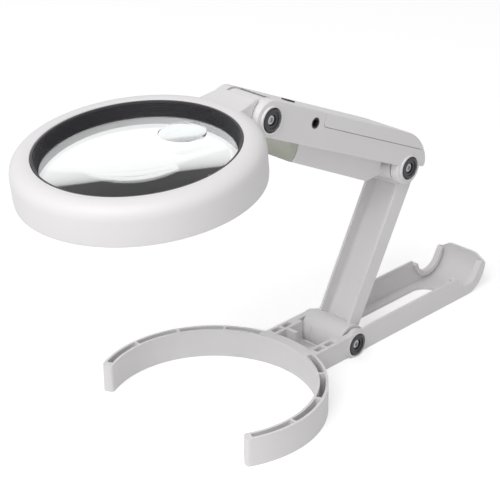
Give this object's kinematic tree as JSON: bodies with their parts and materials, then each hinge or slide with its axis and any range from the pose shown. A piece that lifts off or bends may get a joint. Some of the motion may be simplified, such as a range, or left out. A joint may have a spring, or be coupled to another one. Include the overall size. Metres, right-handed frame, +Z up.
{
  "type": "folding lighted magnifier",
  "caption": "Round lighted magnifying lens on a two-link folding arm that packs into a C-shaped stand with a trough handle.",
  "frame": {"origin": "on the table, at the underside of the stand straight below the hinge of the lower arm", "axes": "+X along the stand from the ring to the handle end, +Z up, +Y away from the side with the power inlet"},
  "size_m": [0.381, 0.147, 0.2053],
  "materials": {
    "shell": "fine matt moulded ABS, off-white",
    "cover": "fine matt moulded ABS, off-white",
    "nose": "matt moulded ABS, pale grey-green",
    "black": "satin moulded ABS, black",
    "steel": "plain plated steel",
    "lens": "clear polished acrylic",
    "board": "printed circuit laminate",
    "lamp": "clear epoxy lamp bodies",
    "cell": "plain wrapped dry cells",
    "washer": "natural nylon washers"
  },
  "bodies": {
    "stand": {"stand": "shell", "base_hinge_bolt": "steel", "base_hinge_cap_near": "black", "base_hinge_cap_far": "black", "base_hinge_washer_near": "washer", "base_hinge_washer_far": "washer"},
    "lower_arm": {"lower_arm": "shell"},
    "upper_arm": {"battery_case": "shell", "keel_nose": "nose", "elbow_hinge_bolt": "steel", "elbow_hinge_cap_near": "black", "elbow_hinge_cap_far": "black", "elbow_hinge_washer_near": "washer", "elbow_hinge_washer_far": "washer", "head_hinge_bolt": "steel", "head_hinge_cap_near": "black", "head_hinge_cap_far": "black", "head_hinge_washer_near": "washer", "head_hinge_washer_far": "washer", "cell_1": "cell", "cell_2": "cell", "cell_3": "cell", "contact_front": "steel", "contact_rear": "steel", "power_inlet": "black"},
    "battery_cover": {"battery_cover": "cover"},
    "switch": {"switch_slide": "black"},
    "lens_head": {"head_shell": "shell", "lens_bezel": "black", "main_lens": "lens", "insert_lens": "lens", "head_lower_ring": "shell", "led_board": "board", "led_1": "lamp", "led_2": "lamp", "led_3": "lamp", "led_4": "lamp", "led_5": "lamp", "led_6": "lamp", "led_7": "lamp", "led_8": "lamp"}
  },
  "joints": [
    {"name": "base_hinge", "type": "hinge", "parent": "stand", "child": "lower_arm", "pos_m": [0, 0, 0.009], "axis": [0, 1, 0], "range_deg": [-12, 60.5]},
    {"name": "elbow_hinge", "type": "hinge", "parent": "lower_arm", "child": "upper_arm", "pos_m": [0.0502, 0, 0.12019], "axis": [0, 1, 0], "range_deg": [-84.85, 16.83]},
    {"name": "head_fold", "type": "hinge", "parent": "upper_arm", "child": "lens_head", "pos_m": [-0.07954, 0, 0.19035], "axis": [0, 1, 0], "range_deg": [-6.04, 30.44]},
    {"name": "switch_travel", "type": "slide", "parent": "upper_arm", "child": "switch", "axis": [0.911, 0, -0.4124], "range_m": [0, 0.004]},
    {"name": "battery_cover_lift", "type": "slide", "parent": "upper_arm", "child": "battery_cover", "axis": [0.4124, 0, 0.911], "range_m": [0, 0.025]}
  ],
  "couplings": [
    {"joint": "elbow_hinge", "follows": "base_hinge", "ratio": -1.4024},
    {"joint": "head_fold", "follows": "base_hinge", "ratio": 0.50319}
  ]
}
